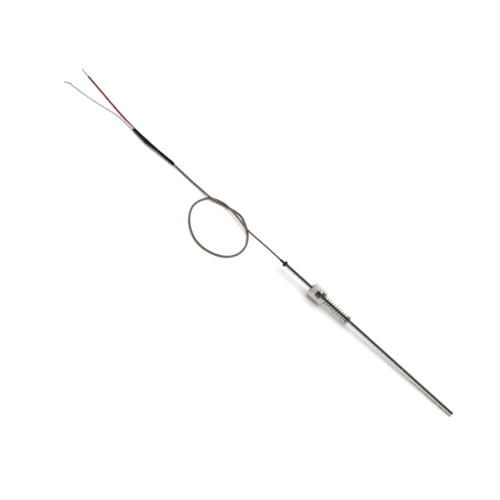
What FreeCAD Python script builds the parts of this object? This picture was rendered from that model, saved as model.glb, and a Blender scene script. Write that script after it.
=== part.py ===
import FreeCAD, Part

import math
import os

# A spring-loaded bayonet thermocouple, in millimetres.
#
# The probe is built along +X from the sheath's rear end (x = 0) to its tip. It is then laid on the
# surface z = 0, where it rests on the cap's front rim and on its own tip, so its axis dips a little
# towards the tip. The origin is the bottom centre of the probe's box, without the cable.
# The cable, the transition and the leads are given where they lie on that surface.

V = FreeCAD.Vector

# Sheath: 3/16 in stainless tube, 8.5 in long with its welded tip
SHEATH_R = 4.76 / 2
SHEATH_WALL = 0.5
SHEATH_LENGTH = 215.9
GROOVE_DEPTH = 0.2
GROOVE_PLAY = 0.15
TIP_LENGTH = 2.4
TIP_ROUND = 1.3
SPIGOT_LENGTH = 3.0

# Thermoelement wires, 24 gauge, in glass sleeving
WIRE_R = 0.255
WIRE_INSULATION_R = 0.48
WIRE_OFFSET = 0.53
WIRE_PLAY = 0.02
BEAD_R = 0.95
BEAD_LENGTH = 1.0
BARE_AT_TIP = 7.0
TIP_CEMENT_LENGTH = 9.0
REAR_SEAL_LENGTH = 8.0
FIT_PLAY = 0.03

# Rear collar and strain relief
COLLAR_R = 2.95
COLLAR_BACK = 2.0
COLLAR_FRONT = 1.0
COLLAR_ROUND = 0.6
EAR_REACH = 3.9
EAR_WIDTH = 1.0
RELIEF_R = 1.25
RELIEF_BORE_R = 1.03
RELIEF_LENGTH = 6.5

# Bayonet cap: 1/2 in socket, 15 mm outside
CAP_REAR = 34.0
CAP_LENGTH = 16.0
CAP_R = 7.5
CAP_BORE_R = 6.35
CAP_END_WALL = 1.2
CAP_HOLE_R = 2.45
CAP_ROUND = 0.9
CAP_LIP_ROUND = 0.3
SLOT_FACES = 45.0
SLOT_CORNER = 0.8

# One hooked slot: axial place and tangential place of its corners, seen square on
SLOT_OUTLINE = [
    (51.0, -4.3),
    (43.6, -4.5),
    (39.6, -1.6),
    (39.6, 3.2),
    (42.6, 4.2),
    (45.6, 4.2),
    (45.0, 1.2),
    (51.0, 1.2),
]

# Washers and retaining clips
CLIP_R = 4.2
CLIP_THICKNESS = 0.65
CLIP_GAP = 3.4
CLIP_BEHIND_CAP = 0.1
WASHER_THICKNESS = 0.5
WASHER_BORE_R = 2.47
END_WASHER_R = 4.4
THRUST_WASHER_R = 6.0
STOP_CLIP_REAR = 80.5
STACK_GAP = 0.05

# Compression spring
SPRING_R = 4.3
SPRING_WIRE_R = 0.45
SPRING_TURNS = 17.5

# Cable and leads
CABLE_R = 1.05
LEAD_R = 0.85
CONDUCTOR_R = 0.4
ARC_SHARE = 0.45
RED_BARE = 10.0

# Heat-shrink transition
SLEEVE_REAR_R = 2.05
SLEEVE_BULGE_R = 2.8
SLEEVE_FRONT_R = 2.1
SLEEVE_BULGE_AT = 34.0
CABLE_IN_SLEEVE = 5.5
SLEEVE_CABLE_BORE_R = 1.1
SLEEVE_CAVITY_R = 1.7
SLEEVE_FRONT_BORE_R = 1.8
SLEEVE_FRONT = V(-301.3, 12.7, 2.12)
CRIMP_R = 0.7
CRIMP_LENGTH = 7.0
CRIMP_OFFSET = 0.78
CRIMP_STAGGER = 9.0

# The cable's route on the surface, after its first point at the strain relief's end.
# It leaves along the sheath, passes over its own return, and makes one loose loop.
CABLE_ROUTE = [
    V(-124.2, 0.0, 9.68),
    V(-141.5, 1.2, 7.6),
    V(-159.5, 4.9, 6.4),
    V(-173.5, 13.0, 3.8),
    V(-186.5, 14.4, 1.9),
    V(-199.0, 9.6, 1.1),
    V(-207.6, -0.8, 1.1),
    V(-210.6, -14.5, 1.1),
    V(-206.0, -28.8, 1.1),
    V(-196.0, -40.9, 1.1),
    V(-182.0, -47.8, 1.1),
    V(-166.5, -46.4, 1.1),
    V(-152.6, -38.0, 1.1),
    V(-144.8, -24.0, 1.1),
    V(-143.7, -8.8, 1.1),
    V(-150.3, 6.6, 1.1),
    V(-162.4, 18.3, 1.1),
    V(-178.0, 20.4, 1.1),
    V(-193.0, 16.8, 1.1),
    V(-208.5, 10.9, 1.1),
    V(-225.0, 9.2, 1.4),
    V(-240.9, 11.75, 1.95),
    V(-254.5, 11.2, 2.25),
]

RED_ROUTE = [
    V(-282.9, 10.92, 2.88),
    V(-303.2, 13.86, 2.03),
    V(-323.5, 17.6, 0.92),
    V(-346.5, 23.0, 0.86),
    V(-369.2, 27.8, 0.86),
]

WHITE_ROUTE = [
    V(-283.1, 9.18, 2.88),
    V(-303.4, 12.12, 2.03),
    V(-323.8, 13.2, 0.92),
    V(-339.5, 9.0, 0.86),
    V(-356.5, 5.6, 0.86),
    V(-373.5, 4.2, 0.86),
]

WHITE_BARE_ROUTE = [
    V(-373.5, 4.2, 0.86),
    V(-377.3, 3.89, 0.86),
    V(-380.3, 0.3, 0.62),
]

# Derived places along the probe
CAP_MOUTH = CAP_REAR + CAP_LENGTH
TIP_START = SHEATH_LENGTH - TIP_LENGTH
SPIGOT_START = TIP_START - SPIGOT_LENGTH
BEAD_START = SPIGOT_START - BEAD_LENGTH
THRUST_WASHER_REAR = CAP_REAR + CAP_END_WALL + STACK_GAP
SPRING_START = THRUST_WASHER_REAR + WASHER_THICKNESS + STACK_GAP
END_WASHER_REAR = STOP_CLIP_REAR - STACK_GAP - WASHER_THICKNESS
SPRING_END = END_WASHER_REAR
SHEATH_BORE_R = SHEATH_R - SHEATH_WALL

# The probe touches the surface under the cap's rim and under the rounded tip
TIP_CONTACT = SHEATH_LENGTH - TIP_ROUND
DIP = math.asin((CAP_R - SHEATH_R) / (TIP_CONTACT - CAP_MOUTH))


def rod(start, end, radius, y=0.0):
    """A solid bar along the probe's axis."""
    return Part.makeCylinder(radius, end - start, V(start, y, 0), V(1, 0, 0))


def ring(start, end, outer, inner, y=0.0):
    """A tube along the probe's axis."""
    return rod(start, end, outer, y).cut(rod(start, end, inner, y))


def edges_at(shape, place, radius):
    """The round edges of one radius at one place along the axis."""
    found = []
    for edge in shape.Edges:
        if not isinstance(edge.Curve, Part.Circle):
            continue
        near = abs(edge.Curve.Center.x - place) < 0.01
        if near and abs(edge.Curve.Radius - radius) < 0.01:
            found.append(edge)
    return found


def radial(angle):
    """The direction square to the axis, turned from +Z towards -Y."""
    turn = math.radians(angle)
    return V(0, -math.sin(turn), math.cos(turn))


def sheath_tube():
    tube = ring(0, TIP_START, SHEATH_R, SHEATH_BORE_R)
    for clip_rear in (rear_clip_place(), STOP_CLIP_REAR):
        start = clip_rear - GROOVE_PLAY
        end = clip_rear + CLIP_THICKNESS + GROOVE_PLAY
        tube = tube.cut(ring(start, end, SHEATH_R + 1, SHEATH_R - GROOVE_DEPTH))
    return tube


def tip_plug():
    nose = rod(TIP_START, SHEATH_LENGTH, SHEATH_R)
    nose = nose.makeFillet(TIP_ROUND, edges_at(nose, SHEATH_LENGTH, SHEATH_R))
    return nose.fuse(rod(SPIGOT_START, TIP_START, SHEATH_BORE_R - FIT_PLAY)).removeSplitter()


def hot_junction():
    middle = BEAD_START + BEAD_LENGTH / 2
    ball = Part.makeSphere(BEAD_R, V(middle, 0, 0))
    return ball.common(Part.makeBox(BEAD_LENGTH, 2, 2, V(BEAD_START, -1, -1)))


def thermoelement(side):
    return rod(-RELIEF_LENGTH, BEAD_START, WIRE_R, side * WIRE_OFFSET)


def wire_insulation(side):
    end = BEAD_START - BARE_AT_TIP
    return ring(-RELIEF_LENGTH, end, WIRE_INSULATION_R, WIRE_R + WIRE_PLAY, side * WIRE_OFFSET)


def wire_channels(start, end, radius):
    return rod(start, end, radius, WIRE_OFFSET).fuse(rod(start, end, radius, -WIRE_OFFSET))


def tip_cement():
    start = SPIGOT_START - TIP_CEMENT_LENGTH
    plug = rod(start, SPIGOT_START, SHEATH_BORE_R - FIT_PLAY)
    plug = plug.cut(rod(BEAD_START - WIRE_PLAY, SPIGOT_START, BEAD_R + WIRE_PLAY))
    plug = plug.cut(wire_channels(start, BEAD_START, WIRE_R + WIRE_PLAY))
    insulation_end = BEAD_START - BARE_AT_TIP
    return plug.cut(wire_channels(start, insulation_end, WIRE_INSULATION_R + WIRE_PLAY))


def rear_seal():
    plug = rod(0, REAR_SEAL_LENGTH, SHEATH_BORE_R - FIT_PLAY)
    return plug.cut(wire_channels(0, REAR_SEAL_LENGTH, WIRE_INSULATION_R + WIRE_PLAY))


def strain_relief_sleeve():
    return ring(-RELIEF_LENGTH, 0, RELIEF_R, RELIEF_BORE_R)


def cable_collar():
    body = rod(-COLLAR_BACK, COLLAR_FRONT, COLLAR_R)
    rims = edges_at(body, -COLLAR_BACK, COLLAR_R) + edges_at(body, COLLAR_FRONT, COLLAR_R)
    body = body.makeFillet(COLLAR_ROUND, rims)
    ear = Part.makeBox(EAR_WIDTH, EAR_WIDTH, EAR_REACH - SHEATH_R, V(-0.5, -EAR_WIDTH / 2, SHEATH_R))
    ear.rotate(V(0, 0, 0), V(1, 0, 0), -SLOT_FACES)
    body = body.fuse(ear)
    body = body.cut(rod(0, COLLAR_FRONT, SHEATH_R + WIRE_PLAY))
    return body.cut(rod(-COLLAR_BACK, 0, RELIEF_R + WIRE_PLAY))


def rear_clip_place():
    return CAP_REAR - CLIP_BEHIND_CAP - CLIP_THICKNESS


def clip(rear):
    """A flat snap ring in a groove of the sheath, open at its lower side."""
    flat = ring(rear, rear + CLIP_THICKNESS, CLIP_R, SHEATH_R - GROOVE_DEPTH + WIRE_PLAY)
    gap = Part.makeBox(CLIP_THICKNESS, CLIP_GAP, CLIP_R + 1, V(rear, -CLIP_GAP / 2, -CLIP_R - 1))
    return flat.cut(gap)


def washer(rear, outer):
    return ring(rear, rear + WASHER_THICKNESS, outer, WASHER_BORE_R)


def slot_cutter():
    """The hooked slot's outline, cut square through the cap's wall on one side."""
    outward = radial(SLOT_FACES)
    along = radial(SLOT_FACES + 90)
    inside = outward * (CAP_BORE_R / 2)
    corners = [V(x, 0, 0) + along * t + inside for x, t in SLOT_OUTLINE]
    face = Part.Face(Part.makePolygon(corners + corners[:1]))
    block = face.extrude(outward * CAP_R)
    rounded = []
    for edge in block.Edges:
        runs_out = abs(abs(edge.tangentAt(edge.FirstParameter).dot(outward)) - 1) < 1e-6
        if runs_out and edge.Vertexes[0].X < CAP_MOUTH:
            rounded.append(edge)
    return block.makeFillet(SLOT_CORNER, rounded)


def bayonet_cap():
    cup = rod(CAP_REAR, CAP_MOUTH, CAP_R)
    cup = cup.makeFillet(CAP_ROUND, edges_at(cup, CAP_REAR, CAP_R))
    cup = cup.makeFillet(CAP_LIP_ROUND, edges_at(cup, CAP_MOUTH, CAP_R))
    cup = cup.cut(rod(CAP_REAR + CAP_END_WALL, CAP_MOUTH, CAP_BORE_R))
    cup = cup.cut(rod(CAP_REAR, CAP_MOUTH, CAP_HOLE_R))
    slot = slot_cutter()
    for turn in (0, 180):
        opposite = slot.copy()
        opposite.rotate(V(0, 0, 0), V(1, 0, 0), turn)
        cup = cup.cut(opposite)
    return cup


def compression_spring():
    """A round-wire helix whose ends are ground flat."""
    coil_r = SPRING_R - SPRING_WIRE_R
    length = SPRING_END - SPRING_START
    pitch = length / SPRING_TURNS
    helix = Part.makeHelix(pitch, length, coil_r)
    section = Part.Wire(Part.makeCircle(SPRING_WIRE_R, V(coil_r, 0, 0), V(0, 1, 0)))
    coil = Part.Wire(helix).makePipeShell([section], True, True)
    coil.rotate(V(0, 0, 0), V(0, 1, 0), 90)
    coil.translate(V(SPRING_START, 0, 0))
    return coil.common(rod(SPRING_START, SPRING_END, SPRING_R + 1))


def lay_down(shape):
    """Turns a piece of the probe from its own axis to where it lies."""
    placed = shape.copy()
    placed.rotate(V(0, 0, 0), V(0, 1, 0), math.degrees(DIP))
    placed.translate(REST)
    return placed


def lay_point(point):
    return FreeCAD.Rotation(V(0, 1, 0), math.degrees(DIP)).multVec(point) + REST


def rest_place():
    """The move that puts the cap's rim on z = 0 and the probe's box centre on x = 0."""
    turn = FreeCAD.Rotation(V(0, 1, 0), math.degrees(DIP))
    cap_axis = turn.multVec(V(CAP_MOUTH - CAP_LIP_ROUND, 0, 0))
    back = turn.multVec(V(-RELIEF_LENGTH, 0, -RELIEF_R)).x
    front = turn.multVec(V(SHEATH_LENGTH - TIP_ROUND, 0, SHEATH_R - TIP_ROUND)).x + TIP_ROUND
    return V(-(back + front) / 2, 0, CAP_R * math.cos(DIP) - cap_axis.z)


def path(points, name):
    """Straight runs joined by tangent arcs, each as large as its two runs allow."""
    edges = []
    radii = []
    last = points[0]
    for before, corner, after in zip(points, points[1:], points[2:]):
        back = (before - corner).normalize()
        ahead = (after - corner).normalize()
        turn = math.pi - back.getAngle(ahead)
        shorter = min((corner - before).Length, (after - corner).Length)
        trim = ARC_SHARE * shorter
        radius = trim / math.tan(turn / 2)
        start = corner + back * trim
        end = corner + ahead * trim
        inward = (back + ahead).normalize()
        middle = corner + inward * (radius / math.cos(turn / 2) - radius)
        edges.append(Part.LineSegment(last, start).toShape())
        edges.append(Part.Arc(start, middle, end).toShape())
        radii.append(radius)
        last = end
    edges.append(Part.LineSegment(last, points[-1]).toShape())
    wire = Part.Wire(edges)
    print(name, "length", round(wire.Length, 1), "radii", [round(r, 1) for r in radii])
    return wire


def tube(points, radius, name):
    wire = path(points, name)
    section = Part.Wire(Part.makeCircle(radius, points[0], points[1] - points[0]))
    solid = wire.makePipeShell([section], True, False)
    wanted = math.pi * radius * radius * wire.Length
    print(name, "volume", round(solid.Volume, 2), "section times length", round(wanted, 2))
    return solid


def straight_tube(start, direction, length, radius):
    return Part.makeCylinder(radius, length, start, direction)


# The sleeve follows the cable's last run to its bulge, then bends to its front end
SLEEVE_AXIS = (CABLE_ROUTE[-1] - CABLE_ROUTE[-2]).normalize()
SLEEVE_REAR = CABLE_ROUTE[-1] - SLEEVE_AXIS * CABLE_IN_SLEEVE
SLEEVE_BULGE = SLEEVE_REAR + SLEEVE_AXIS * SLEEVE_BULGE_AT
FRONT_REACH = SLEEVE_FRONT - SLEEVE_BULGE
REST = rest_place()


def transition_sleeve():
    rear = Part.makeCone(SLEEVE_REAR_R, SLEEVE_BULGE_R, SLEEVE_BULGE_AT, SLEEVE_REAR, SLEEVE_AXIS)
    front_length = FRONT_REACH.Length
    front = Part.makeCone(SLEEVE_BULGE_R, SLEEVE_FRONT_R, front_length, SLEEVE_BULGE, FRONT_REACH)
    skin = rear.fuse(front).fuse(Part.makeSphere(SLEEVE_BULGE_R, SLEEVE_BULGE))
    cable_bore = straight_tube(SLEEVE_REAR, SLEEVE_AXIS, CABLE_IN_SLEEVE, SLEEVE_CABLE_BORE_R)
    cavity_length = SLEEVE_BULGE_AT - CABLE_IN_SLEEVE
    cavity = straight_tube(CABLE_ROUTE[-1], SLEEVE_AXIS, cavity_length, SLEEVE_CAVITY_R)
    lead_bore = straight_tube(SLEEVE_BULGE, FRONT_REACH, front_length, SLEEVE_FRONT_BORE_R)
    join = Part.makeSphere(SLEEVE_FRONT_BORE_R, SLEEVE_BULGE)
    return skin.cut(cable_bore).cut(cavity).cut(join).cut(lead_bore)


def splice_sides():
    across = SLEEVE_AXIS.cross(V(0, 0, 1)).normalize()
    return across * CRIMP_OFFSET, across * -CRIMP_OFFSET


def splice_wires():
    """The two cores' bare ends, from the cable to the leads."""
    length = SLEEVE_BULGE_AT - CABLE_IN_SLEEVE - 0.3
    wires = [straight_tube(CABLE_ROUTE[-1] + side, SLEEVE_AXIS, length, WIRE_R) for side in splice_sides()]
    return Part.makeCompound(wires)


def splice_crimps():
    """One crimped barrel on each core, staggered along the sleeve."""
    barrels = []
    for number, side in enumerate(splice_sides()):
        start = CABLE_ROUTE[-1] + side + SLEEVE_AXIS * (4 + number * CRIMP_STAGGER)
        barrel = straight_tube(start, SLEEVE_AXIS, CRIMP_LENGTH, CRIMP_R)
        bore = straight_tube(start, SLEEVE_AXIS, CRIMP_LENGTH, WIRE_R + WIRE_PLAY)
        barrels.append(barrel.cut(bore))
    return Part.makeCompound(barrels)


def red_conductor():
    return straight_tube(RED_ROUTE[-1], RED_ROUTE[-1] - RED_ROUTE[-2], RED_BARE, CONDUCTOR_R)


PROBE = {
    "sheath_tube": sheath_tube(),
    "tip_plug": tip_plug(),
    "hot_junction": hot_junction(),
    "positive_thermoelement": thermoelement(-1),
    "negative_thermoelement": thermoelement(1),
    "positive_wire_insulation": wire_insulation(-1),
    "negative_wire_insulation": wire_insulation(1),
    "tip_cement": tip_cement(),
    "rear_seal": rear_seal(),
    "strain_relief_sleeve": strain_relief_sleeve(),
    "cable_collar": cable_collar(),
    "rear_retaining_clip": clip(rear_clip_place()),
    "bayonet_cap": bayonet_cap(),
    "thrust_washer": washer(THRUST_WASHER_REAR, THRUST_WASHER_R),
    "compression_spring": compression_spring(),
    "spring_end_washer": washer(END_WASHER_REAR, END_WASHER_R),
    "spring_stop_clip": clip(STOP_CLIP_REAR),
}

CABLE_START = lay_point(V(-RELIEF_LENGTH, 0, 0))

CORD = {
    "cable": tube([CABLE_START] + CABLE_ROUTE, CABLE_R, "cable"),
    "transition_sleeve": transition_sleeve(),
    "splice_wires": splice_wires(),
    "splice_crimps": splice_crimps(),
    "red_lead_insulation": tube(RED_ROUTE, LEAD_R, "red lead"),
    "white_lead_insulation": tube(WHITE_ROUTE, LEAD_R, "white lead"),
    "red_lead_conductor": red_conductor(),
    "white_lead_conductor": tube(WHITE_BARE_ROUTE, CONDUCTOR_R, "white conductor"),
}

os.makedirs("parts", exist_ok=True)
for name, shape in PROBE.items():
    lay_down(shape).exportStep("parts/" + name + ".step")
for name, shape in CORD.items():
    shape.exportStep("parts/" + name + ".step")

print("dip", round(math.degrees(DIP), 4), "rest", REST, "cable start", CABLE_START)
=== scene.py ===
import math

import bpy
from mathutils import Matrix, Vector


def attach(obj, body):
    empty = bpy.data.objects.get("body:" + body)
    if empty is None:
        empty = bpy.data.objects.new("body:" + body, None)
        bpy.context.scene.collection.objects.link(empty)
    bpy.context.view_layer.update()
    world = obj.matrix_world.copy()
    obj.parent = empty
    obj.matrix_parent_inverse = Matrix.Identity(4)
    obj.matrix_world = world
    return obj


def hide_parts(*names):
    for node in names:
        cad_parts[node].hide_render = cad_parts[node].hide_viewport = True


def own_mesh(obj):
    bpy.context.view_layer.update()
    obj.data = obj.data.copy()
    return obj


# The looks of a spring-loaded bayonet thermocouple, in metres, in the CAD model's own frame.
# Pieces on the probe are made along its own axis, from the sheath's rear end (x = 0) to its tip,
# in millimetres, and are laid down by PROBE_PLACE. The cord's pieces are made where they lie.

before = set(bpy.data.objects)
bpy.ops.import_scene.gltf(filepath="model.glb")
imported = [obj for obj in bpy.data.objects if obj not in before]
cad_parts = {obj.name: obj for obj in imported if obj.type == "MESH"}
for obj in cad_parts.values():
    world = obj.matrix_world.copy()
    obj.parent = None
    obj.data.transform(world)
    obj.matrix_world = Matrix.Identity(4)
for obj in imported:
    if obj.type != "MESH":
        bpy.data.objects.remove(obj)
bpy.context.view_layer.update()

MM = 0.001

# Sheath and tip, in millimetres along the probe
SHEATH_R = 2.38
SHEATH_BORE_R = 1.88
SHEATH_LENGTH = 215.9
TIP_LENGTH = 2.4
TIP_ROUND = 1.3
GROOVE_DEPTH = 0.2
GROOVE_PLAY = 0.15
CLEARANCE = 0.02

# Bayonet cap and what stands in it
CAP_R = 7.5
CAP_MOUTH = 50.0
CLIP_R = 4.2
CLIP_THICKNESS = 0.65
CLIP_GAP = 3.4
REAR_CLIP = 33.25
STOP_CLIP = 80.5
THRUST_WASHER = 35.25
END_WASHER = 79.95
WASHER_THICKNESS = 0.5
WASHER_BORE_R = 2.47
WASHER_EDGE = 0.1
THRUST_WASHER_R = 6.0
END_WASHER_R = 4.4

# Spring
SPRING_START = 35.8
SPRING_END = 79.95
SPRING_R = 4.3
SPRING_WIRE_R = 0.45
SPRING_TURNS = 17.5
SPRING_CLOSED = 1.04

# Rear collar and strain relief
COLLAR_R = 2.95
COLLAR_BACK = 2.0
COLLAR_FRONT = 1.0
EAR_REACH = 3.6
EAR_WIDTH = 0.6
EAR_TAPER = 0.82
EAR_FACES = 45.0
RELIEF_R = 1.25
RELIEF_LENGTH = 6.5

# Where the probe lies: its rear end, and its dip from the cap's rim down to the tip
PROBE_REAR = Vector((-0.104647, 0.0, 0.0090423))
DIP = math.asin((CAP_R - SHEATH_R) / (SHEATH_LENGTH - TIP_ROUND - CAP_MOUTH))
PROBE_PLACE = Matrix.Translation(PROBE_REAR) @ Matrix.Rotation(DIP, 4, "Y") @ Matrix.Scale(MM, 4)

# Cable and leads, in metres
CABLE_R = 0.00105
LEAD_R = 0.00085
RED_LENGTH = 0.088
WHITE_LENGTH = 0.0915

# The heat-shrunk sleeve, from the cable's side to its front, where the leads come out
SLEEVE_ROUTE = [
    (-0.2490, 0.01170, 0.00170),
    (-0.2660, 0.01090, 0.00228),
    (-0.2830, 0.00995, 0.00258),
    (-0.2922, 0.01150, 0.00205),
    (-0.3013, 0.01280, 0.00155),
]

# The cable drops from the strain relief and passes over its own return, winds once round it,
# and makes one loose loop on the surface
CABLE_ROUTE = [
    (-0.111144, 0.0, 0.0092445),
    (-0.1242, 0.0005, 0.00955),
    (-0.1372, 0.0019, 0.00835),
    (-0.1480, 0.0051, 0.00510),
    (-0.1555, 0.0077, 0.00345),
    (-0.1635, 0.0103, 0.00325),
    (-0.1715, 0.0126, 0.00325),
    (-0.1792, 0.0140, 0.00320),
    (-0.1855, 0.0149, 0.00310),
    (-0.1910, 0.0137, 0.00285),
    (-0.1965, 0.0122, 0.00200),
    (-0.2015, 0.0097, 0.00120),
    (-0.2043, 0.0046, 0.00108),
    (-0.2073, -0.0031, 0.00108),
    (-0.2085, -0.0140, 0.00108),
    (-0.2042, -0.0272, 0.00108),
    (-0.1952, -0.0393, 0.00108),
    (-0.1819, -0.0474, 0.00108),
    (-0.1665, -0.0461, 0.00108),
    (-0.1526, -0.0379, 0.00108),
    (-0.1448, -0.0240, 0.00108),
    (-0.1439, -0.0100, 0.00108),
    (-0.1477, 0.0006, 0.00108),
    (-0.1529, 0.0087, 0.00108),
    (-0.1600, 0.0147, 0.00108),
    (-0.1669, 0.0190, 0.00108),
    (-0.1730, 0.0185, 0.00108),
    (-0.1795, 0.0170, 0.00106),
    (-0.1855, 0.0152, 0.00105),
    (-0.1910, 0.0124, 0.00115),
    (-0.1965, 0.0102, 0.00225),
    (-0.2015, 0.0084, 0.00300),
    (-0.2070, 0.0092, 0.00215),
    (-0.2150, 0.0105, 0.00125),
    (-0.2250, 0.0105, 0.00110),
    (-0.2409, 0.0114, 0.00138),
    (-0.2545, 0.0114, 0.00190),
]

# The leads come out of the sleeve side by side and part on the surface. The red one's bare end
# starts a little inside its insulation and goes straight on.
RED_ROUTE = [
    (-0.2829, 0.01086, 0.00258),
    (-0.3032, 0.01410, 0.00142),
    (-0.3235, 0.01770, 0.00088),
    (-0.3465, 0.02300, 0.00086),
    (-0.3692, 0.02780, 0.00086),
]
RED_BARE = 0.0100
BARE_OVERLAP = 0.002

WHITE_ROUTE = [
    (-0.2831, 0.00912, 0.00258),
    (-0.3034, 0.01265, 0.00142),
    (-0.3238, 0.01320, 0.00088),
    (-0.3395, 0.00900, 0.00086),
    (-0.3565, 0.00560, 0.00086),
    (-0.3735, 0.00420, 0.00086),
]
WHITE_BARE_ROUTE = [
    WHITE_ROUTE[-1],
    (-0.3773, 0.00389, 0.00086),
    (-0.3803, 0.00030, 0.00062),
]

# The cords' braids. Step is how far apart the rows of points are along a cord, and sides is how
# many points a row has. Relief is how deep the gaps between the yarns are.
CABLE_STEP = 0.00028
CABLE_SIDES = 28
CABLE_YARNS = 3
CABLE_PITCH = 0.0024
CABLE_RELIEF = 0.00024
LEAD_STEP = 0.00026
LEAD_SIDES = 24
LEAD_YARNS = 4
LEAD_PITCH = 0.0019
LEAD_RELIEF = 0.00012
# A yarn's height: a rounded crown, and its rise and fall over and under the yarns it crosses
CROWN_SHARE = 0.62
LIFT_SHARE = 0.38
CROWN_POWER = 0.6

# Bare ends: six strands round one
BARE_STEP = 0.00025
BARE_R = 0.0004
STRAND_R = 0.000133
STRANDS = 6
STRAND_LAY = 0.006
STRAND_SIDES = 8

# The shrunk sleeve: (reach from the cable's side to the leads', half width, half height) in mm
SLEEVE_STATIONS = [
    (0.00, 1.46, 1.44),
    (0.04, 1.56, 1.50),
    (0.14, 1.52, 1.46),
    (0.28, 1.74, 1.20),
    (0.40, 1.73, 1.20),
    (0.54, 1.86, 1.50),
    (0.65, 2.06, 1.84),
    (0.74, 2.00, 1.58),
    (0.86, 1.95, 1.22),
    (1.00, 1.93, 1.10),
]
SLEEVE_STEP = 0.0003
SLEEVE_SIDES = 48
SLEEVE_WALL = 0.0002
SLEEVE_LIP = 0.0006
LIP_ROUNDING = 0.05
WRINKLE_DEPTH = 0.014
WRINKLE_WAVES = 61
WRINKLE_TWIST = 2.0

# Edges sharper than these stay sharp in shading, and are rounded by soften()
SHARP_ANGLE = math.radians(38)
BEVEL_ANGLE = math.radians(40)
# Points of an outline closer to the axis than this, in mm, are on it
ON_AXIS = 1e-6
# Lines: the splines' own steps between two route points, and a length that stands for none
SPLINE_FINENESS = 24
NO_LENGTH = 1e-12

# Camera: a long lens, square to the cable's side, 45 degrees down, rolled so that the probe
# runs downhill
CAMERA_AIM = Vector((-0.13927, -0.00767, 0.0))
CAMERA_DISTANCE = 1.3308
CAMERA_ELEVATION = math.radians(45)
CAMERA_ROLL = math.radians(40.727)
CAMERA_LENS = 100
CAMERA_SENSOR = 36

# Studio: the world's colours from the camera's side to the far side, and the two soft lights
WORLD_STOPS = [(0.56, (0.085, 0.085, 0.075)), (0.72, (0.24, 0.24, 0.23)), (0.84, (1.2, 1.2, 1.2))]
LIGHTS_AIM = (-0.1, 0.0, 0.0)
OVERHEAD_POWER = 23
FILL_POWER = 2.5
FLOOR_HALF = 3.0

# Where a Mix node of colours keeps its sockets, and how much of a braid's colour is wear
MIX_FACTOR, MIX_A, MIX_B, MIX_RESULT = 0, 6, 7, 2
WEAR_SHARE = 0.16


# ---------------------------------------------------------------- node helpers


def new_material(name):
    """A material, its node tree and its Principled shader."""
    material = bpy.data.materials.new(name)
    material.use_nodes = True
    tree = material.node_tree
    return material, tree, tree.nodes["Principled BSDF"]


def add(tree, kind, settings=None, **inputs):
    """A node. An input that is another node's socket is linked, and any other value is set."""
    node = tree.nodes.new(kind)
    for key, value in (settings or {}).items():
        setattr(node, key, value)
    for key, value in inputs.items():
        socket = node.inputs[key.replace("_", " ")]
        if isinstance(value, bpy.types.NodeSocket):
            tree.links.new(value, socket)
        else:
            socket.default_value = value
    return node


def mapped(tree, vector, scale):
    return add(tree, "ShaderNodeMapping", Vector=vector, Scale=scale).outputs["Vector"]


def stretched(tree, per_mm):
    """Object coordinates scaled along each axis to this many grains a millimetre."""
    where = add(tree, "ShaderNodeTexCoord").outputs["Object"]
    return mapped(tree, where, tuple(grains / MM for grains in per_mm))


def even(tree, per_mm):
    """Object coordinates scaled alike in all directions."""
    return stretched(tree, (per_mm,) * 3)


def noise(tree, vector, detail=4.0, roughness=0.5, scale=1.0):
    texture = add(
        tree, "ShaderNodeTexNoise",
        Vector=vector, Scale=scale, Detail=detail, Roughness=roughness,
    )
    return texture.outputs["Fac"]


def ramp(tree, factor, stops):
    """Colours along a factor; stops are (place, colour)."""
    node = add(tree, "ShaderNodeValToRGB", Fac=factor)
    elements = node.color_ramp.elements
    while len(elements) < len(stops):
        elements.new(0.5)
    for element, (place, colour) in zip(elements, stops):
        element.position = place
        element.color = (*colour, 1)
    return node.outputs["Color"]


def span(tree, value, low, high, start=0.3, end=0.7):
    """A factor from start to end carried to low to high."""
    node = add(
        tree, "ShaderNodeMapRange",
        Value=value, From_Min=start, From_Max=end, To_Min=low, To_Max=high,
    )
    return node.outputs["Result"]


def bump(tree, shader, height, strength, depth):
    """Raises the surface by up to depth, in millimetres."""
    node = add(tree, "ShaderNodeBump", Height=height, Strength=strength, Distance=depth * MM)
    tree.links.new(node.outputs["Normal"], shader.inputs["Normal"])


def feed(tree, shader, **inputs):
    """Links sockets to the shader's inputs."""
    for key, socket in inputs.items():
        tree.links.new(socket, shader.inputs[key.replace("_", " ")])


def shade(colour, amount):
    return tuple(channel * amount for channel in colour)


# ------------------------------------------------------------------- materials


def metal(name, colour, rough, grain, depth, tint=0.82, metallic=1.0):
    """Worked metal: fine lines stretched by grain, cloudy tint, and roughness that follows both."""
    material, tree, shader = new_material(name)
    lines = noise(tree, stretched(tree, grain), 3.0, 0.6)
    clouds = noise(tree, even(tree, 0.35), 5.0, 0.62)
    shader.inputs["Metallic"].default_value = metallic
    stops = [(0.35, shade(colour, tint)), (0.62, colour)]
    feed(tree, shader, Base_Color=ramp(tree, clouds, stops))
    feed(tree, shader, Roughness=span(tree, lines, *rough))
    bump(tree, shader, lines, 0.35, depth)
    return material


def blackened(name, colour, rough, grain, depth):
    """A black skin, fine-pitted, with patches rubbed grey."""
    material, tree, shader = new_material(name)
    pits = noise(tree, even(tree, grain), 6.0, 0.65)
    rubs = noise(tree, even(tree, 0.6), 4.0, 0.55)
    stops = [(0.30, shade(colour, 0.55)), (0.55, colour), (0.80, shade(colour, 2.2))]
    feed(tree, shader, Base_Color=ramp(tree, rubs, stops))
    feed(tree, shader, Roughness=span(tree, pits, *rough))
    bump(tree, shader, pits, 0.4, depth)
    return material


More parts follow.
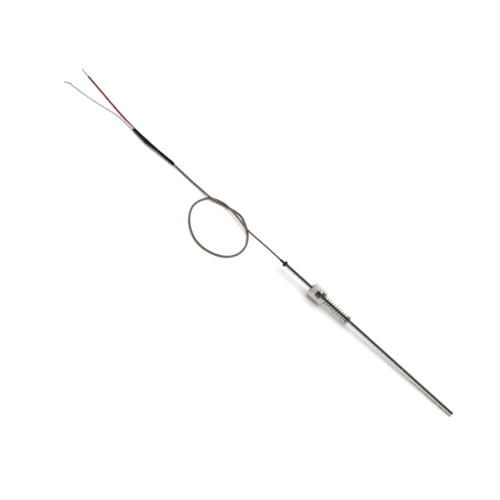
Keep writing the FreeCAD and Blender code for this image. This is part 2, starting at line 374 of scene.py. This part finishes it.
def granular(name, light, dark, scale, depth, roughness):
    """A cast or fired body: speckled, matt and slightly open."""
    material, tree, shader = new_material(name)
    coords = even(tree, scale)
    grains = add(tree, "ShaderNodeTexVoronoi", Vector=coords, Scale=1.0).outputs["Distance"]
    stain = noise(tree, coords, 5.0, scale=0.2)
    feed(tree, shader, Base_Color=ramp(tree, stain, [(0.3, dark), (0.7, light)]))
    roughest = min(1.0, roughness + 0.15)
    feed(tree, shader, Roughness=span(tree, grains, roughness, roughest, 0.0, 0.8))
    bump(tree, shader, grains, 0.5, depth)
    return material


def glass_braid(name, yarn, gap_shade, fray, roughness, coat=0.0):
    """Braided glass yarn: painted shade on the yarns' flanks and between the yarns, fine fibres
    along the lay, and a varnish coat.
    """
    material, tree, shader = new_material(name)
    relief = add(tree, "ShaderNodeAttribute", {"attribute_name": "relief"}).outputs["Fac"]
    lay = add(tree, "ShaderNodeUVMap", {"uv_map": "lay"}).outputs["UV"]
    fibres = noise(tree, mapped(tree, lay, (5.0, 60.0, 1.0)), 3.0)
    patches = noise(tree, even(tree, 0.16), 4.0, 0.6)
    # Colour follows the relief: painted shade darkens the yarns' flanks and the gaps between them
    body = ramp(tree, relief, [(0.34, gap_shade), (0.68, shade(yarn, 0.6)), (1.0, yarn)])
    worn = ramp(tree, patches, [(0.42, shade(yarn, 0.8)), (0.72, fray)])
    mixed = add(tree, "ShaderNodeMix", {"data_type": "RGBA"})
    mixed.inputs[MIX_FACTOR].default_value = WEAR_SHARE
    tree.links.new(body, mixed.inputs[MIX_A])
    tree.links.new(worn, mixed.inputs[MIX_B])
    feed(tree, shader, Base_Color=mixed.outputs[MIX_RESULT])
    feed(tree, shader, Roughness=span(tree, fibres, roughness - 0.1, roughness + 0.12))
    bump(tree, shader, fibres, 0.5, 0.06)
    shader.inputs["Coat Weight"].default_value = coat
    shader.inputs["Coat Roughness"].default_value = 0.35
    return material


def shrink_tube(name):
    """Heat-shrunk polyolefin: satin black, drawn over what is inside, with dust in its pores."""
    material, tree, shader = new_material(name)
    drawn = noise(tree, stretched(tree, (0.35, 1.8, 1.8)), 5.0, 0.6)
    dust = noise(tree, even(tree, 0.9), 6.0, 0.7)
    stops = [(0.4, (0.002, 0.002, 0.002)), (0.75, (0.009, 0.009, 0.008))]
    feed(tree, shader, Base_Color=ramp(tree, dust, stops))
    feed(tree, shader, Roughness=span(tree, drawn, 0.42, 0.60))
    shader.inputs["Specular IOR Level"].default_value = 0.22
    bump(tree, shader, drawn, 0.35, 0.08)
    return material


# Metals: colour, least and most roughness, grains a millimetre along each axis, and bump in mm
SHEATH = metal("polished_sheath", (0.70, 0.69, 0.66), (0.10, 0.22), (0.25, 7, 7), 0.006)
WELD = metal("dressed_weld", (0.66, 0.64, 0.60), (0.20, 0.38), (4, 4, 4), 0.02, 0.7)
NICKEL = metal(
    "satin_nickel", (0.72, 0.685, 0.665), (0.40, 0.56), (1.6, 1.6, 1.6), 0.02,
    tint=0.84, metallic=0.5,
)
CLIP_STEEL = metal("phosphated_clip", (0.40, 0.40, 0.38), (0.30, 0.50), (3, 3, 3), 0.02, 0.65)
WASHER_STEEL = metal("rolled_washer", (0.56, 0.56, 0.53), (0.22, 0.40), (5, 1.2, 1.2), 0.01)
SPRING_WIRE = metal("drawn_spring_wire", (0.36, 0.35, 0.30), (0.14, 0.28), (3, 3, 3), 0.006, 0.6)
TINNED = metal("tinned_strand", (0.62, 0.61, 0.58), (0.22, 0.42), (1.5, 6, 6), 0.02, 0.7)

# Black skins, heat-shrink and glass braid
COLLAR_BLACK = blackened("black_oxide", (0.010, 0.010, 0.009), (0.28, 0.48), 5.0, 0.02)
RELIEF_BLACK = blackened("black_rubber", (0.008, 0.008, 0.007), (0.42, 0.62), 7.0, 0.03)
SHRINK = shrink_tube("heat_shrink")
# The braids' gap colours are painted shade between their yarns
CABLE_BRAID = glass_braid(
    "brown_braid", yarn=(0.245, 0.168, 0.133), gap_shade=(0.004, 0.003, 0.002),
    fray=(0.26, 0.198, 0.16), roughness=0.65, coat=0.05,
)
RED_BRAID = glass_braid(
    "red_braid", yarn=(0.42, 0.016, 0.013), gap_shade=(0.08, 0.004, 0.003),
    fray=(0.42, 0.050, 0.040), roughness=0.7,
)
WHITE_BRAID = glass_braid(
    "white_braid", yarn=(0.96, 0.96, 0.95), gap_shade=(0.80, 0.79, 0.77),
    fray=(0.97, 0.97, 0.96), roughness=0.8,
)


def inner_wire(name, colour, rough=(0.22, 0.40), tint=0.82):
    """Drawn wire inside the sheath or the heat-shrink."""
    return metal(name, colour, rough, (0.5, 8, 8), 0.01, tint)


def sleeving(name, light, dark):
    """Woven sleeving on an inner wire."""
    return granular(name, light, dark, 4.2, 0.04, 0.7)


# The CAD nodes inside the sheath and the heat-shrink, which show as they are
INSIDE = {
    "hot_junction": metal(
        "junction_bead", (0.40, 0.37, 0.35), (0.25, 0.45), (3, 3, 3), 0.03, 0.6,
    ),
    "positive_thermoelement": inner_wire("iron_wire", (0.46, 0.45, 0.44), (0.25, 0.42), tint=0.7),
    "negative_thermoelement": inner_wire("constantan_wire", (0.62, 0.53, 0.44), (0.22, 0.38)),
    "positive_wire_insulation": sleeving(
        "white_sleeving", (0.88, 0.87, 0.84), (0.62, 0.60, 0.56),
    ),
    "negative_wire_insulation": sleeving(
        "red_sleeving", (0.55, 0.09, 0.07), (0.30, 0.04, 0.03),
    ),
    "tip_cement": granular(
        "tip_cement", (0.78, 0.75, 0.68), (0.52, 0.49, 0.43), 3.0, 0.08, 0.8,
    ),
    "rear_seal": granular(
        "seal_cement", (0.62, 0.58, 0.50), (0.38, 0.34, 0.29), 2.6, 0.08, 0.8,
    ),
    "splice_wires": inner_wire("splice_wire", (0.60, 0.54, 0.46), tint=0.75),
    "splice_crimps": metal(
        "tinned_crimp", (0.66, 0.60, 0.44), (0.20, 0.36), (1, 5, 5), 0.02, 0.75,
    ),
}


# ---------------------------------------------------------------- mesh helpers


def mesh_object(name, points, faces, material, place=None):
    """A mesh of points and faces. Place carries the points from a piece's own axes to its spot."""
    if place is not None:
        points = [place @ Vector(point) for point in points]
    mesh = bpy.data.meshes.new(name)
    mesh.from_pydata([tuple(p) for p in points], [], faces)
    mesh.materials.append(material)
    mesh.polygons.foreach_set("use_smooth", [True] * len(faces))
    mesh.set_sharp_from_angle(angle=SHARP_ANGLE)
    piece = bpy.data.objects.new(name, mesh)
    bpy.context.scene.collection.objects.link(piece)
    return piece


def corner(x, r, round_r, from_angle, to_angle, steps=6):
    """Points of a rounded corner about (x, r), in the plane of the axis and the radius."""
    found = []
    for step in range(steps + 1):
        angle = math.radians(from_angle + (to_angle - from_angle) * step / steps)
        found.append((x + round_r * math.cos(angle), r + round_r * math.sin(angle)))
    return found


def lathe(name, outline, material, around=96):
    """An outline of (x, r) turned about the probe's axis. Ends on the axis close to a point."""
    points = []
    faces = []
    rows = []
    for x, r in outline:
        if r < ON_AXIS:
            rows.append([len(points)] * around)
            points.append((x, 0, 0))
            continue
        rows.append(list(range(len(points), len(points) + around)))
        for side in range(around):
            turn = math.tau * side / around
            points.append((x, r * math.sin(turn), r * math.cos(turn)))
    for before, after in zip(rows, rows[1:]):
        for side in range(around):
            ahead = (side + 1) % around
            quad = [before[side], before[ahead], after[ahead], after[side]]
            face = list(dict.fromkeys(quad))
            if len(face) > 2:
                faces.append(face)
    return mesh_object(name, points, faces, material, PROBE_PLACE)


def ring_outline(start, end, inner, outer, edge):
    """The closed outline of a ring with small rounded edges."""
    outline = corner(end - edge, inner + edge, edge, -90, 0, 3)
    outline += corner(end - edge, outer - edge, edge, 0, 90, 3)
    outline += corner(start + edge, outer - edge, edge, 90, 180, 3)
    outline += corner(start + edge, inner + edge, edge, 180, 270, 3)
    return outline + outline[:1]


def spline_line(name, route, step):
    """Points a step apart along the NURBS spline that the route's points steer."""
    curve = bpy.data.curves.new(name, "CURVE")
    curve.dimensions = "3D"
    curve.resolution_u = SPLINE_FINENESS
    spline = curve.splines.new("NURBS")
    spline.points.add(len(route) - 1)
    for point, place in zip(spline.points, route):
        point.co = (*place, 1)
    spline.order_u = 3
    spline.use_endpoint_u = True
    holder = bpy.data.objects.new(name, curve)
    bpy.context.scene.collection.objects.link(holder)
    mesh = bpy.data.meshes.new_from_object(holder)
    dense = [v.co.copy() for v in mesh.vertices]
    bpy.data.objects.remove(holder)
    bpy.data.curves.remove(curve)
    bpy.data.meshes.remove(mesh)
    return even_steps(dense, step)


def even_steps(dense, step):
    """The same line with its points an even step apart."""
    reach = [0.0]
    for before, after in zip(dense, dense[1:]):
        reach.append(reach[-1] + (after - before).length)
    count = max(2, round(reach[-1] / step))
    line = []
    at = 0
    for number in range(count + 1):
        wanted = reach[-1] * number / count
        while at < len(dense) - 2 and reach[at + 1] < wanted:
            at += 1
        share = (wanted - reach[at]) / max(reach[at + 1] - reach[at], NO_LENGTH)
        line.append(dense[at].lerp(dense[at + 1], min(1.0, share)))
    return line


def line_frames(line):
    """A frame at each point that turns no more than the line does: (point, along, up, side)."""
    frames = []
    up = Vector((0, 0, 1))
    for number, point in enumerate(line):
        before = line[max(0, number - 1)]
        after = line[min(len(line) - 1, number + 1)]
        along = (after - before).normalized()
        up = (up - along * up.dot(along)).normalized()
        frames.append((point, along, up, along.cross(up)))
    return frames


def skin(frames, radius, sides):
    """Rows of points round a line; radius(number, turn) gives each point's distance."""
    points = []
    for number, (point, along, up, side) in enumerate(frames):
        for k in range(sides):
            turn = math.tau * k / sides
            reach = radius(number, turn)
            points.append(point + (up * math.cos(turn) + side * math.sin(turn)) * reach)
    return points


def skin_faces(rows, sides):
    faces = []
    for row in range(rows - 1):
        for k in range(sides):
            ahead = (k + 1) % sides
            a, b = row * sides, (row + 1) * sides
            faces.append((a + k, a + ahead, b + ahead, b + k))
    return faces


def closed_skin_faces(rows, sides, first=0):
    """A skin's faces and a cut face at each end, for points that start at number first."""
    faces = [tuple(first + v for v in face) for face in skin_faces(rows, sides)]
    last = first + (rows - 1) * sides
    faces.append(tuple(reversed(range(first, first + sides))))
    faces.append(tuple(range(last, last + sides)))
    return faces


# ------------------------------------------------------------ camera and cords


def make_camera():
    level = Vector((1, 0, 0))
    view = Vector((0, math.cos(CAMERA_ELEVATION), -math.sin(CAMERA_ELEVATION)))
    upright = Vector((0, math.sin(CAMERA_ELEVATION), math.cos(CAMERA_ELEVATION)))
    right = level * math.cos(CAMERA_ROLL) + upright * math.sin(CAMERA_ROLL)
    up = upright * math.cos(CAMERA_ROLL) - level * math.sin(CAMERA_ROLL)
    turned = Matrix((right, up, -view)).transposed().to_4x4()
    data = bpy.data.cameras.new("camera")
    data.lens = CAMERA_LENS
    data.sensor_width = CAMERA_SENSOR
    camera = bpy.data.objects.new("camera", data)
    camera.matrix_world = Matrix.Translation(CAMERA_AIM - view * CAMERA_DISTANCE) @ turned
    bpy.context.scene.collection.objects.link(camera)
    bpy.context.scene.camera = camera


def braid_relief(along, turn, yarns, pitch):
    """Height of a plain two-way braid, 0 between the yarns and 1 on their crowns."""
    a = yarns * turn / math.tau + along / pitch
    b = yarns * turn / math.tau - along / pitch
    yarn_a, yarn_b = math.floor(a), math.floor(b)
    crown_a = math.sin(math.pi * (a - yarn_a)) ** CROWN_POWER
    crown_b = math.sin(math.pi * (b - yarn_b)) ** CROWN_POWER
    lift_a = math.sin(math.pi * (b + yarn_a))
    lift_b = -math.sin(math.pi * (a + yarn_b))
    height_a = CROWN_SHARE * crown_a + LIFT_SHARE * lift_a
    height_b = CROWN_SHARE * crown_b + LIFT_SHARE * lift_b
    return max(0.0, min(1.0, max(height_a, height_b)))


def braided_cord(name, line, outer, yarns, pitch, depth, sides, material):
    """A round braided cord: its yarns stand out of its skin, and its cut ends are closed."""
    frames = line_frames(line)
    step = (line[1] - line[0]).length
    relief = [
        braid_relief(row * step, math.tau * k / sides, yarns, pitch)
        for row in range(len(line))
        for k in range(sides)
    ]
    points = skin(frames, lambda row, turn: outer, sides)
    for index, point in enumerate(points):
        centre = line[index // sides]
        points[index] = centre.lerp(point, 1 - depth / outer * (1 - relief[index]))
    piece = mesh_object(name, points, closed_skin_faces(len(line), sides), material)
    attribute = piece.data.attributes.new("relief", "FLOAT", "POINT")
    attribute.data.foreach_set("value", relief)
    layer = piece.data.uv_layers.new(name="lay")
    for face in piece.data.polygons:
        for number, loop in enumerate(face.loop_indices):
            vertex = piece.data.loops[loop].vertex_index
            row, k = divmod(vertex, sides)
            # A face that closes a row ends at point 0, which then counts as a whole turn
            wraps = k == 0 and number in (1, 2) and len(face.vertices) == 4
            layer.data[loop].uv = ((row * step) / pitch, (k + sides * wraps) / sides)
    return piece


def stranded_wire(name, line):
    """Bare strands twisted together, each with a closed cut end."""
    frames = line_frames(line)
    step = (line[1] - line[0]).length
    points = []
    faces = []
    for strand in range(STRANDS + 1):
        offset = 0.0 if strand == STRANDS else BARE_R - STRAND_R
        axis = []
        for row, (point, along, up, side) in enumerate(frames):
            turn = math.tau * (row * step / STRAND_LAY + strand / STRANDS)
            axis.append(point + (up * math.cos(turn) + side * math.sin(turn)) * offset)
        faces += closed_skin_faces(len(line), STRAND_SIDES, len(points))
        points += skin(line_frames(axis), lambda row, turn: STRAND_R, STRAND_SIDES)
    return mesh_object(name, points, faces, TINNED)


def sleeve_section(reach):
    """The shrunk sleeve's half width and half height at a reach from 0 to 1."""
    for (near, *small), (far, *large) in zip(SLEEVE_STATIONS, SLEEVE_STATIONS[1:]):
        if reach <= far:
            share = (reach - near) / (far - near)
            eased = share * share * (3 - 2 * share)
            return [(a + (b - a) * eased) * MM for a, b in zip(small, large)]
    return [half * MM for half in SLEEVE_STATIONS[-1][1:]]


def shrink_sleeve():
    """The black sleeve over the splice: bulged, softly wrinkled, flat where it grips the leads."""
    line = spline_line("sleeve_line", SLEEVE_ROUTE, SLEEVE_STEP)
    rows = len(line)

    def outer(row, turn):
        reach = row / (rows - 1)
        wide, tall = sleeve_section(reach)
        oval = 1 / math.hypot(math.cos(turn) / tall, math.sin(turn) / wide)
        wave = math.sin(reach * WRINKLE_WAVES + WRINKLE_TWIST * math.sin(turn * 2))
        wrinkle = WRINKLE_DEPTH * wave * math.sin(reach * math.pi)
        from_end = min(row, rows - 1 - row) * SLEEVE_STEP
        rounded = 1 - LIP_ROUNDING * max(0.0, 1 - from_end / SLEEVE_LIP) ** 2
        return oval * (1 + wrinkle) * rounded

    frames = line_frames(line)
    outside = skin(frames, outer, SLEEVE_SIDES)
    inside = skin(frames, lambda row, turn: outer(row, turn) - SLEEVE_WALL, SLEEVE_SIDES)
    faces = skin_faces(rows, SLEEVE_SIDES)
    base = len(outside)
    faces += [tuple(base + v for v in reversed(face)) for face in skin_faces(rows, SLEEVE_SIDES)]
    last = (rows - 1) * SLEEVE_SIDES
    for k in range(SLEEVE_SIDES):
        ahead = (k + 1) % SLEEVE_SIDES
        faces.append((k, base + k, base + ahead, ahead))
        faces.append((last + k, last + ahead, base + last + ahead, base + last + k))
    return mesh_object("shrink_sleeve", outside + inside, faces, SHRINK)


def lead_cord(name, line, material):
    return braided_cord(
        name, line, LEAD_R, LEAD_YARNS, LEAD_PITCH, LEAD_RELIEF, LEAD_SIDES, material,
    )


def make_cords():
    sleeve = shrink_sleeve()
    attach(sleeve, "probe")
    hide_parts("transition_sleeve")

    cable_line = spline_line("cable_line", CABLE_ROUTE, CABLE_STEP)
    cable = braided_cord(
        "cable_braid", cable_line, CABLE_R, CABLE_YARNS, CABLE_PITCH, CABLE_RELIEF, CABLE_SIDES,
        CABLE_BRAID,
    )
    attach(cable, "probe")
    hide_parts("cable")

    red_line = spline_line("red_line", RED_ROUTE, LEAD_STEP)
    red = lead_cord("red_lead", red_line, RED_BRAID)
    white_line = spline_line("white_line", WHITE_ROUTE, LEAD_STEP)
    white = lead_cord("white_lead", white_line, WHITE_BRAID)

    red_end = Vector(RED_ROUTE[-1])
    onward = (red_end - Vector(RED_ROUTE[-2])).normalized()
    red_bare_ends = [red_end - onward * BARE_OVERLAP, red_end + onward * RED_BARE]
    red_bare = stranded_wire("red_bare_strands", even_steps(red_bare_ends, BARE_STEP))
    white_bare_line = spline_line("white_bare_line", WHITE_BARE_ROUTE, BARE_STEP)
    white_bare = stranded_wire("white_bare_strands", white_bare_line)

    leads = [
        (red, red_bare, red_line, RED_LENGTH, "red"),
        (white, white_bare, white_line, WHITE_LENGTH, "white"),
    ]
    for lead, bare, line, length, colour in leads:
        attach(lead, "probe")
        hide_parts(colour + "_lead_insulation")
        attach(bare, "probe")
        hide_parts(colour + "_lead_conductor")


# ----------------------------------------------------------------------- probe


def put_on(piece, body, node):
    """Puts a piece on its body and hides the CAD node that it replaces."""
    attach(piece, body)
    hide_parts(node)


def groove(rear):
    """A clip's square groove in the sheath's outline."""
    start = rear - GROOVE_PLAY
    end = rear + CLIP_THICKNESS + GROOVE_PLAY
    floor = SHEATH_R - GROOVE_DEPTH
    return [(start, SHEATH_R), (start, floor), (end, floor), (end, SHEATH_R)]


def make_sheath():
    tip_start = SHEATH_LENGTH - TIP_LENGTH
    chamfer = 0.1
    outline = [(0, SHEATH_BORE_R), (0, SHEATH_R - chamfer), (chamfer, SHEATH_R)]
    outline += groove(REAR_CLIP) + groove(STOP_CLIP)
    outline += [(tip_start, SHEATH_R), (tip_start, SHEATH_BORE_R), (0, SHEATH_BORE_R)]
    put_on(lathe("sheath", outline, SHEATH, 128), "probe", "sheath_tube")


def make_tip():
    """The welded plug: a low weld bead, then the dressed and rounded nose."""
    start = SHEATH_LENGTH - TIP_LENGTH
    nose = SHEATH_LENGTH - TIP_ROUND
    bead_start, bead_width, bead_height, bead_steps = 0.1, 0.7, 0.03, 8
    outline = [(start, 0), (start, SHEATH_R - CLEARANCE)]
    for step in range(bead_steps + 1):
        share = step / bead_steps
        raised = SHEATH_R + bead_height * math.sin(math.pi * share)
        outline.append((start + bead_start + bead_width * share, raised))
    outline += corner(nose, SHEATH_R - TIP_ROUND, TIP_ROUND, 90, 0, 14)
    outline.append((SHEATH_LENGTH, 0))
    put_on(lathe("sheath_tip", outline, WELD, 128), "probe", "tip_plug")


def make_collar():
    """The black crimped collar, with one crimped groove round it and its small ear."""
    edge = 0.9
    on_sheath = SHEATH_R + 0.01
    on_relief = RELIEF_R - 0.05
    crimped = COLLAR_R - 0.1
    outline = [(COLLAR_FRONT, on_sheath)]
    outline += corner(COLLAR_FRONT - edge, COLLAR_R - edge, edge, 0, 90, 6)
    outline += [(-0.15, COLLAR_R), (-0.28, crimped), (-0.62, crimped), (-0.75, COLLAR_R)]
    outline += corner(-COLLAR_BACK + edge, COLLAR_R - edge, edge, 90, 180, 6)
    outline += [(-COLLAR_BACK, on_relief), (0, on_relief), (0, on_sheath)]
    outline += [(COLLAR_FRONT, on_sheath)]
    put_on(lathe("end_collar", outline, COLLAR_BLACK), "probe", "cable_collar")

    half = EAR_WIDTH / 2
    corners = []
    for height, grow in ((SHEATH_R, 1.0), (EAR_REACH, EAR_TAPER)):
        for x, y in ((-half, -half), (half, -half), (half, half), (-half, half)):
            corners.append((x * grow, y * grow, height))
    sides = [(0, 1, 5, 4), (1, 2, 6, 5), (2, 3, 7, 6), (3, 0, 4, 7), (4, 5, 6, 7), (3, 2, 1, 0)]
    turned = PROBE_PLACE @ Matrix.Rotation(math.radians(-EAR_FACES), 4, "X")
    ear = mesh_object("collar_ear", corners, sides, WASHER_STEEL, turned)
    soften(ear, 0.12 * MM)
    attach(ear, "probe")


def make_relief():
    """A short tapered sleeve with shallow flex grooves round its middle."""
    bore_r = 0.9
    start_gap = 0.05
    end_round = 0.2
    end_r = 0.97
    groove_depth, grooves = 0.05, 5
    wide, narrowing = 1.02, 0.07
    steps = 40
    outline = [(0, bore_r)]
    for step in range(steps + 1):
        share = step / steps
        x = -start_gap - (RELIEF_LENGTH - (start_gap + end_round)) * share
        taper = RELIEF_R * (wide - narrowing * share)
        in_middle = 0.15 < share < 0.85
        cut = groove_depth * max(0.0, math.sin(share * math.tau * grooves)) * in_middle
        outline.append((x, taper - cut))
    outline += corner(-RELIEF_LENGTH + end_round, end_r, end_round, 90, 180, 4)
    outline += [(-RELIEF_LENGTH, bore_r), (0, bore_r)]
    relief = lathe("strain_relief", outline, RELIEF_BLACK, 64)
    put_on(relief, "probe", "strain_relief_sleeve")


def soften(piece, width, segments=3):
    """Rounds a piece's edges."""
    bevel = piece.modifiers.new("bevel", "BEVEL")
    bevel.width = width
    bevel.segments = segments
    bevel.limit_method = "ANGLE"
    bevel.angle_limit = BEVEL_ANGLE


def make_clip(name, rear, node):
    """A flat snap ring in its groove, open at its lower side."""
    inner = SHEATH_R - GROOVE_DEPTH + CLEARANCE
    open_half = math.asin(CLIP_GAP / 2 / CLIP_R)
    steps = 72
    edge = [(inner, 0.0), (CLIP_R, 0.0), (CLIP_R, CLIP_THICKNESS), (inner, CLIP_THICKNESS)]
    points = []
    for step in range(steps + 1):
        turn = math.pi + open_half + (math.tau - 2 * open_half) * step / steps
        for r, x in edge:
            points.append((rear + x, r * math.sin(turn), r * math.cos(turn)))
    faces = []
    for step in range(steps):
        for k in range(4):
            a, b = step * 4, (step + 1) * 4
            ahead = (k + 1) % 4
            faces.append((a + k, b + k, b + ahead, a + ahead))
    faces.append((0, 1, 2, 3))
    faces.append(tuple(steps * 4 + k for k in (3, 2, 1, 0)))
    clip = mesh_object(name, points, faces, CLIP_STEEL, PROBE_PLACE)
    soften(clip, 0.08 * MM)
    put_on(clip, "probe", node)


def washer(name, start, outer):
    outline = ring_outline(start, start + WASHER_THICKNESS, WASHER_BORE_R, outer, WASHER_EDGE)
    return lathe(name, outline, WASHER_STEEL)


def make_washers():
    thrust = washer("thrust_ring", THRUST_WASHER, THRUST_WASHER_R)
    put_on(thrust, "slider", "thrust_washer")
    end = washer("end_ring", END_WASHER, END_WASHER_R)
    put_on(end, "probe", "spring_end_washer")


def make_spring():
    """Round wire with one closed turn at each end, where its turns all but touch."""
    first = SPRING_START + SPRING_WIRE_R
    last = SPRING_END - SPRING_WIRE_R
    closed = 2 * SPRING_WIRE_R * SPRING_CLOSED
    pitch = (last - first - 2 * closed) / (SPRING_TURNS - 2)
    coil_r = SPRING_R - SPRING_WIRE_R
    per_turn = 32
    line = []
    for number in range(round(SPRING_TURNS * per_turn) + 1):
        turns = number / per_turn
        start = min(turns, 1.0)
        middle = min(max(turns - 1.0, 0.0), SPRING_TURNS - 2)
        end = max(turns - (SPRING_TURNS - 1), 0.0)
        x = first + closed * (start + end) + pitch * middle
        angle = math.tau * turns
        line.append(Vector((x, coil_r * math.sin(angle), coil_r * math.cos(angle))))
    sides = 12
    points = skin(line_frames(line), lambda row, turn: SPRING_WIRE_R, sides)
    faces = closed_skin_faces(len(line), sides)
    spring = mesh_object("coil_spring", points, faces, SPRING_WIRE, PROBE_PLACE)
    put_on(spring, "probe", "compression_spring")
    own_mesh(spring)


def finish_cad_nodes():
    """Materials of the CAD nodes that show as they are: the cap, and what is inside."""
    for node, material in {"bayonet_cap": NICKEL, **INSIDE}.items():
        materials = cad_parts[node].data.materials
        materials.clear()
        materials.append(material)


# ---------------------------------------------------------------------- studio


def make_floor():
    material, tree, shader = new_material("pale_floor")
    tone = noise(tree, even(tree, 3.0), 3.0)
    stops = [(0.2, (0.90, 0.90, 0.90)), (0.8, (0.92, 0.92, 0.92))]
    feed(tree, shader, Base_Color=ramp(tree, tone, stops))
    shader.inputs["Roughness"].default_value = 0.9
    shader.inputs["Specular IOR Level"].default_value = 0.1
    half = FLOOR_HALF
    corners = [(-half, -half, 0), (half, -half, 0), (half, half, 0), (-half, half, 0)]
    floor = mesh_object("floor", corners, [(0, 1, 2, 3)], material)


def soft_light(name, place, size, power):
    """A large area light aimed at the object. The metals don't mirror it, only the world."""
    data = bpy.data.lights.new(name, "AREA")
    data.shape = "RECTANGLE"
    data.size, data.size_y = size
    data.energy = power
    light = bpy.data.objects.new(name, data)
    light.location = place
    light.visible_glossy = False
    aimed = (Vector(LIGHTS_AIM) - Vector(place)).to_track_quat("-Z", "Y")
    light.rotation_euler = aimed.to_euler()
    bpy.context.scene.collection.objects.link(light)


def make_studio():
    """A room that is dark overhead and on the camera's side, and bright low down behind."""
    world = bpy.data.worlds.new("studio")
    world.use_nodes = True
    bpy.context.scene.world = world
    tree = world.node_tree
    sky = tree.nodes["Background"]
    where = add(tree, "ShaderNodeTexCoord").outputs["Generated"]
    parts = add(tree, "ShaderNodeSeparateXYZ", Vector=where)
    depth = span(tree, parts.outputs["Y"], 0.0, 1.0, -1.0, 1.0)
    tree.links.new(ramp(tree, depth, WORLD_STOPS), sky.inputs["Color"])
    sky.inputs["Strength"].default_value = 1.0
    soft_light("overhead", (-0.1, 0.20, 1.1), (2.2, 1.6), OVERHEAD_POWER)
    soft_light("fill", (-0.1, -0.95, 0.85), (1.1, 1.1), FILL_POWER)
    bpy.context.scene.view_settings.view_transform = "Standard"


make_camera()
make_cords()
make_sheath()
make_tip()
make_collar()
make_relief()
make_clip("rear_clip", REAR_CLIP, "rear_retaining_clip")
make_clip("stop_clip", STOP_CLIP, "spring_stop_clip")
make_washers()
make_spring()
finish_cad_nodes()
make_floor()
make_studio()
